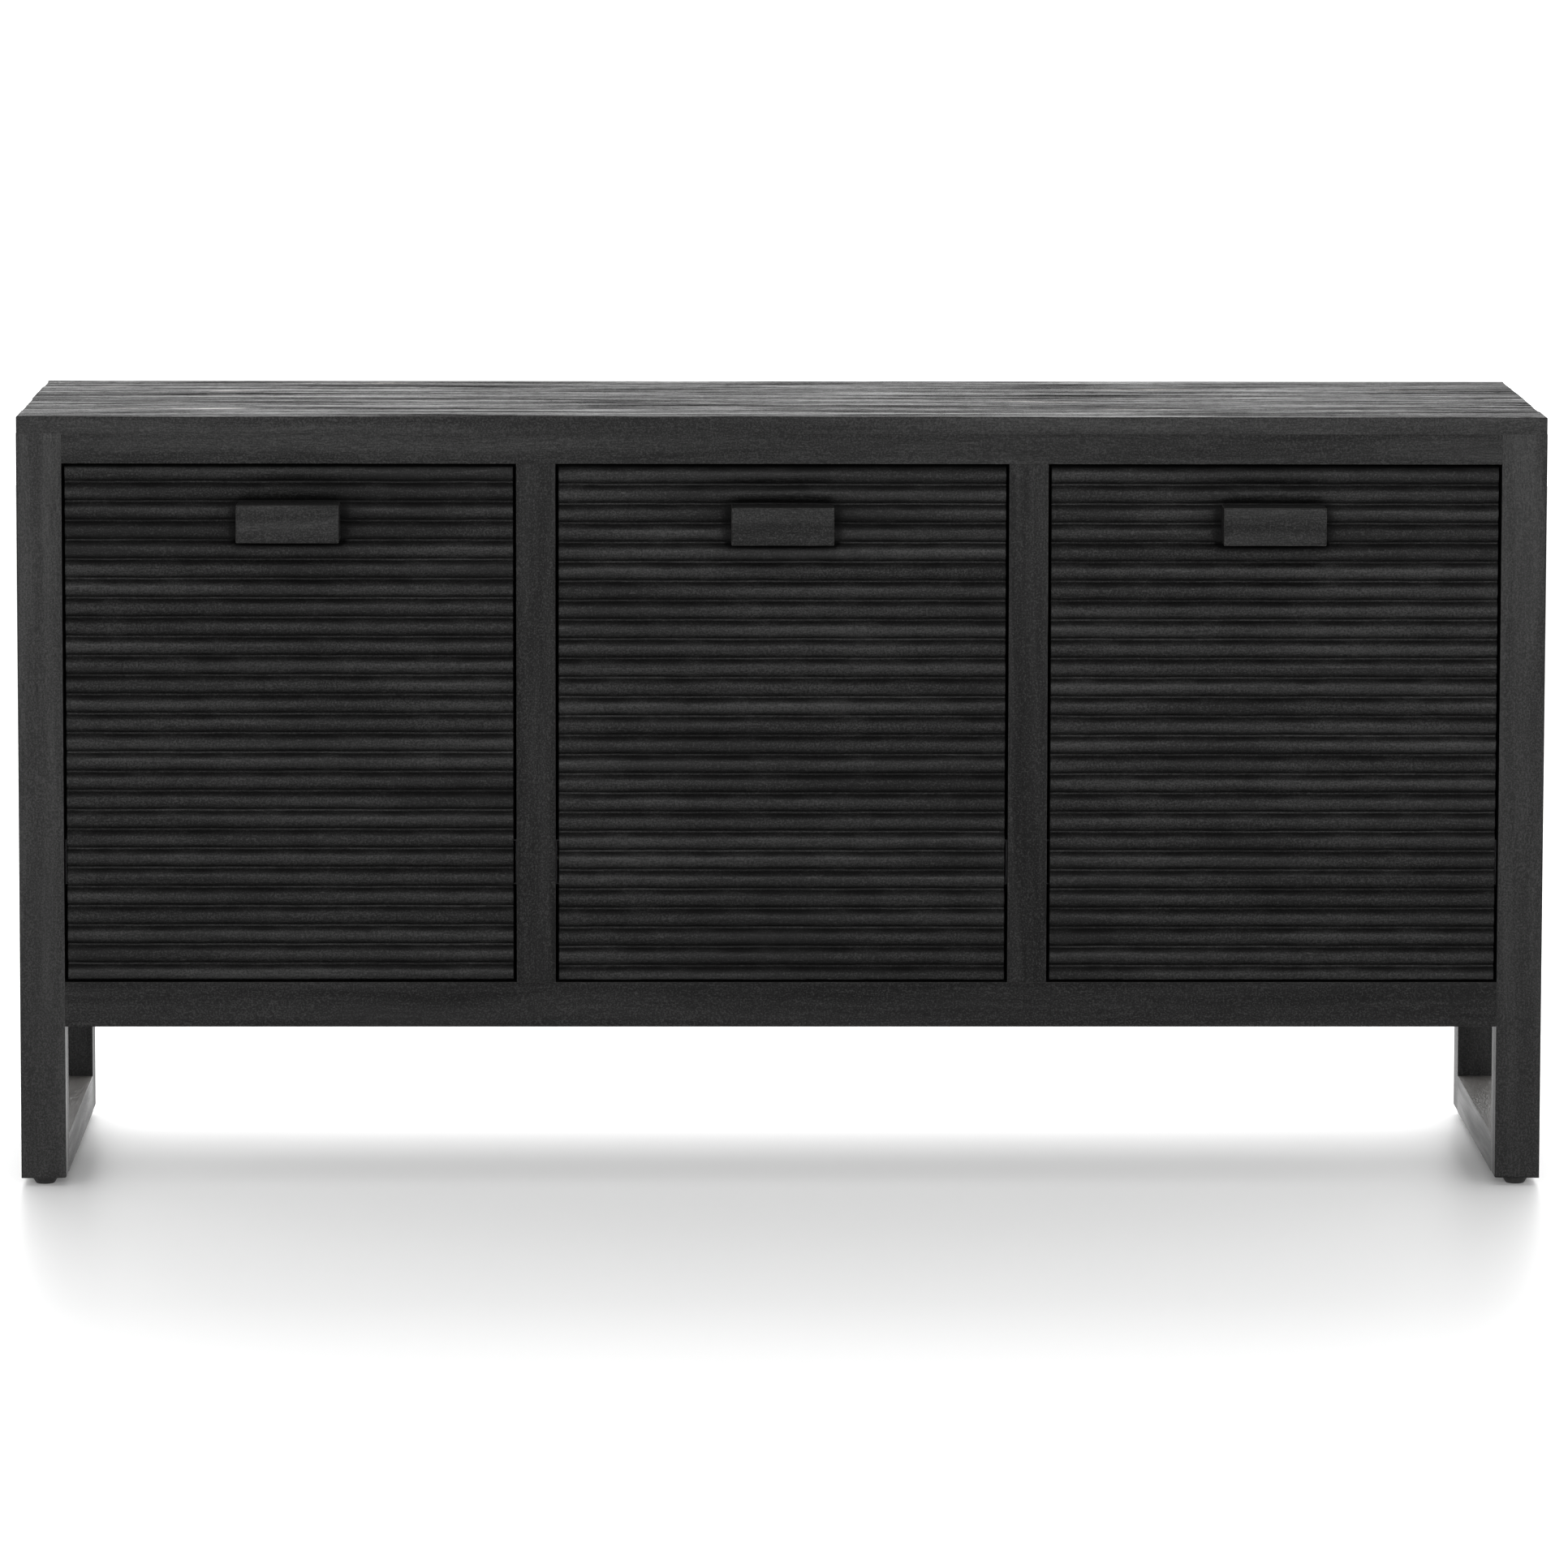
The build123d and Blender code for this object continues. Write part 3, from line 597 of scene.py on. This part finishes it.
def block_mesh(name, low, high, radius, step, reshape):
    """Box with rounded edges, as an even mesh. reshape moves its points."""
    axes = [ladder(low[a], high[a], radius, step) for a in range(3)]
    form = bmesh.new()
    for a in range(3):
        b, c = [k for k in range(3) if k != a]
        for side in (0, -1):
            grid = np.zeros((len(axes[b]), len(axes[c]), 3))
            grid[..., a] = axes[a][side]
            grid[..., b] = axes[b][:, None]
            grid[..., c] = axes[c][None, :]
            verts = [[form.verts.new(p) for p in line] for line in grid]
            outward = (side == -1) == (a != 1)
            for i in range(len(verts) - 1):
                for j in range(len(verts[0]) - 1):
                    loop = verts[i][j], verts[i + 1][j], verts[i + 1][j + 1], verts[i][j + 1]
                    form.faces.new(loop if outward else loop[::-1])
    bmesh.ops.remove_doubles(form, verts=form.verts, dist=0.1 * MERGE_DISTANCE)
    mesh = bpy.data.meshes.new(name)
    form.to_mesh(mesh)
    form.free()
    place = vertex_places(mesh)
    core = np.clip(place, np.array(low) + radius, np.array(high) - radius)
    out = place - core
    reach = np.linalg.norm(out, axis=1)
    wear_and_highlight = np.clip((reach / radius - 1) / SQUARE_EDGE_REACH, 0, 1)
    moved = reshape(core + out / reach[:, None] * radius)
    mesh.vertices.foreach_set("co", moved.astype(np.float32).ravel())
    mesh.polygons.foreach_set("use_smooth", [True] * len(mesh.polygons))
    mesh.update()
    set_mask(mesh, "wear_and_highlight", wear_and_highlight)
    set_mask(mesh, "painted_shade", np.zeros(len(wear_and_highlight)))
    return mesh


def top_board(face_wood, edge_wood, seed):
    """Top glued up from boards whose ends don't quite line up."""
    low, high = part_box("top_board")
    low.z -= TOP_SUNK
    board = (high.y - low.y) / TOP_BOARDS
    rng = np.random.default_rng(seed)
    back = rng.uniform(0, TOP_END_WOBBLE, (2, TOP_BOARDS + 1))
    cup = rng.uniform(0.1, 0.35, TOP_BOARDS + 1) * MM
    middle, half = (low.z + high.z) / 2, (high.z - low.z) / 2

    def reshape(place):
        """Sets the boards' ends back and hollows their upper faces."""
        run = np.clip((place[:, 1] - low.y) / board, 0, TOP_BOARDS - 1e-6)
        index = run.astype(int)
        part = run - index
        ease = np.clip((part - (1 - TOP_BLEND)) / TOP_BLEND, 0, 1)
        for end, sign, edge in ((0, 1, low.x), (1, -1, high.x)):
            stand = back[end][index] * (1 - ease) + back[end][index + 1] * ease
            near = np.clip(1 - np.abs(place[:, 0] - edge) / TOP_END_REACH, 0, 1)
            place[:, 0] += sign * stand * near
        upper = np.clip((place[:, 2] - middle) / half, 0, 1)
        inside = np.clip(np.minimum(place[:, 1] - low.y, high.y - place[:, 1]) / TOP_RIM, 0, 1)
        dip = cup[index] * np.sin(np.pi * part) ** 2
        wave = TOP_WAVE * (1 + wander(place[:, 0], 0.35, np.random.default_rng(seed + 1)))
        place[:, 2] -= upper * inside * (dip + wave)
        return place

    mesh = block_mesh("top_board_glued", low, high, TOP_ROUND, TOP_STEP, reshape)
    set_grain(mesh, "XY", seed)
    steep = [int(face.normal.z < 0.7) for face in mesh.polygons]
    mesh.polygons.foreach_set("material_index", steep)
    finish_piece("top_board_glued", mesh, [face_wood, edge_wood], ["top_board"])


def handle(source, seed, material):
    """Handle block with softened edges that are not quite straight."""
    low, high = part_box(source)
    middle, half = np.array((low + high) / 2), np.array((high - low) / 2)

    def reshape(place):
        """Dents each face a little, most where it is farthest out."""
        for a in range(3):
            along = place[:, (a + 1) % 3] + 0.7 * place[:, (a + 2) % 3]
            dent = HANDLE_DENT * (1 + wander(along, 0.05, np.random.default_rng(seed + a)))
            offset = place[:, a] - middle[a]
            place[:, a] -= np.sign(offset) * dent * np.clip(np.abs(offset) / half[a], 0, 1) ** 4
        return place

    mesh = block_mesh(source + "_block", low, high, HANDLE_ROUND, HANDLE_STEP, reshape)
    set_grain(mesh, "XZ", seed)
    finish_piece(source + "_block", mesh, [material], [source])


# ---------------------------------------------------------------- build the object
# Axis along the grain, then the axis across it, by the start or the end of a board's name
GRAIN_BY_START = {
    "front_leg": "ZX", "rear_leg": "ZX", "stile": "ZX", "partition": "ZY",
    "front_upper_rail": "XZ", "front_lower_rail": "XZ",
    "rear_upper_rail": "XZ", "rear_lower_rail": "XZ",
    "side_upper_rail": "YZ", "side_lower_rail": "YZ", "floor_runner": "YZ", "slide_spacers": "YZ",
    "side_panel": "ZY", "back_panel": "XZ", "bottom_panel": "XY",
}
GRAIN_BY_END = {
    "box_left_side": "YZ", "box_right_side": "YZ", "box_front": "XZ", "box_back": "XZ",
    "box_floor": "XY",
}


def board_grain(name):
    """Grain of a wooden board, or None for a node that isn't one."""
    for start, grain in GRAIN_BY_START.items():
        if name.startswith(start):
            return grain
    for end, grain in GRAIN_BY_END.items():
        if name.endswith(end):
            return grain
    return None


frame_wood = wood_material("frame_wood_stain")
reed_wood = wood_material("reeded_wood_stain", board=0.105, blotch=1.5)
top_wood = wood_material("top_wood_stain", board=(cad_high.y - cad_low.y) / TOP_BOARDS, bump=0.6,
                         roughness=(1.0, 0.55), sheen=(0.0, 0.58), glints=0.8)
inner_wood = wood_material("inner_wood_stain", board=0.12)
sled_wood = wood_material("sled_wood_stain", roughness=(0.50, 0.34))

top_board(top_wood, frame_wood, 11)
for i, drawer in enumerate(("left", "middle", "right")):
    reeded_front(f"{drawer}_drawer_front", 21 + i, reed_wood)
    handle(f"{drawer}_drawer_handle", 31 + i, frame_wood)

boards = [name for name in sorted(slot_of) if board_grain(name)]
for board_seed, name in enumerate(boards, start=101):
    if "leg" in name or "runner" in name:
        wood = sled_wood
    elif slot_of[name] == "frame_wood":
        wood = frame_wood
    else:
        wood = inner_wood
    eased_board(name, board_grain(name), wood, board_seed)

hardware = {
    "slide_steel": metal_material("slide_black_steel", (0.060, 0.060, 0.062), 0.36),
    "screw_steel": metal_material("screw_zinc", (0.55, 0.54, 0.50), 0.38),
    "glide_plastic": plastic_material("glide_black"),
}
for name, part in frame["nodes"].items():
    if slot_of[name] in hardware:
        part.material_slots[0].material = hardware[slot_of[name]]


# ---------------------------------------------------------------- floor, light and camera
def floor():
    """Pale floor that fades into the light round it."""
    mesh = bpy.data.meshes.new("studio_floor")
    reach = FLOOR_REACH
    corners = [(-reach, -reach, 0), (reach, -reach, 0), (reach, reach, 0), (-reach, reach, 0)]
    mesh.from_pydata(corners, [], [(0, 1, 2, 3)])
    plane = bpy.data.objects.new("studio_floor", mesh)
    bpy.context.scene.collection.objects.link(plane)
    material, _, shader = new_material("studio_floor")
    shader.inputs["Base Color"].default_value = (0.9, 0.9, 0.9, 1)
    shader.inputs["Roughness"].default_value = 0.4
    shader.inputs["Emission Color"].default_value = (1, 1, 1, 1)
    shader.inputs["Emission Strength"].default_value = FLOOR_GLOW
    mesh.materials.append(material)


def softbox(name, place, target, size, power):
    """Rectangular lamp at a place, facing a target."""
    light = bpy.data.lights.new(name, "AREA")
    light.shape = "RECTANGLE"
    light.size, light.size_y = size
    light.energy = power
    lamp = bpy.data.objects.new(name, light)
    lamp.location = place
    lamp.rotation_mode = "QUATERNION"
    lamp.rotation_quaternion = (Vector(target) - Vector(place)).to_track_quat("-Z", "Y")
    bpy.context.scene.collection.objects.link(lamp)


def camera():
    """Camera at the place and angle that the sideboard was seen from."""
    forward = Vector((-math.sin(CAMERA_YAW) * math.cos(CAMERA_PITCH),
                      math.cos(CAMERA_YAW) * math.cos(CAMERA_PITCH), math.sin(CAMERA_PITCH)))
    right = Vector((math.cos(CAMERA_YAW), math.sin(CAMERA_YAW), 0))
    up = right.cross(forward)
    turn = Matrix.Rotation(CAMERA_ROLL, 3, forward)
    right, up = turn @ right, turn @ up
    data = bpy.data.cameras.new("camera")
    data.lens, data.sensor_width = CAMERA_LENS, SENSOR
    data.clip_start, data.clip_end = 0.1, 200
    view = bpy.data.objects.new("camera", data)
    axes = Matrix((right, up, -forward)).transposed()
    view.matrix_world = Matrix.Translation(CAMERA_PLACE) @ axes.to_4x4()
    bpy.context.scene.collection.objects.link(view)
    bpy.context.scene.camera = view


def world():
    """White surround: bright behind the sideboard and overhead, dim in front of it."""
    made = bpy.data.worlds.new("studio")
    made.use_nodes = True
    tree = made.node_tree
    direction = node(tree, "SeparateXYZ", {0: node(tree, "TexCoord").outputs["Generated"]})
    rear = levels(tree, direction.outputs[1], -0.3, 0.5, WORLD_FRONT, WORLD_BACK)
    above = levels(tree, direction.outputs[2], 0.5, 0.9)
    share = calc(tree, "SUBTRACT", 1.0, above)
    strength = calc(tree, "MULTIPLY_ADD", above, WORLD_TOP, calc(tree, "MULTIPLY", share, rear))
    tree.links.new(strength, tree.nodes["Background"].inputs["Strength"])
    tree.nodes["Background"].inputs["Color"].default_value = (1, 1, 1, 1)
    bpy.context.scene.world = made


floor()
softbox("back_top_light", place=(0, 2.9, 2.7), target=(0, 0, 0), size=(4.0, 2.2), power=BACK_LIGHT)
softbox("front_light", place=(0, -4.2, 1.35), target=(cad_low + cad_high) / 2, size=(8.0, 0.5),
        power=FRONT_LIGHT)
world()
bpy.context.scene.view_settings.view_transform = "Standard"
camera()
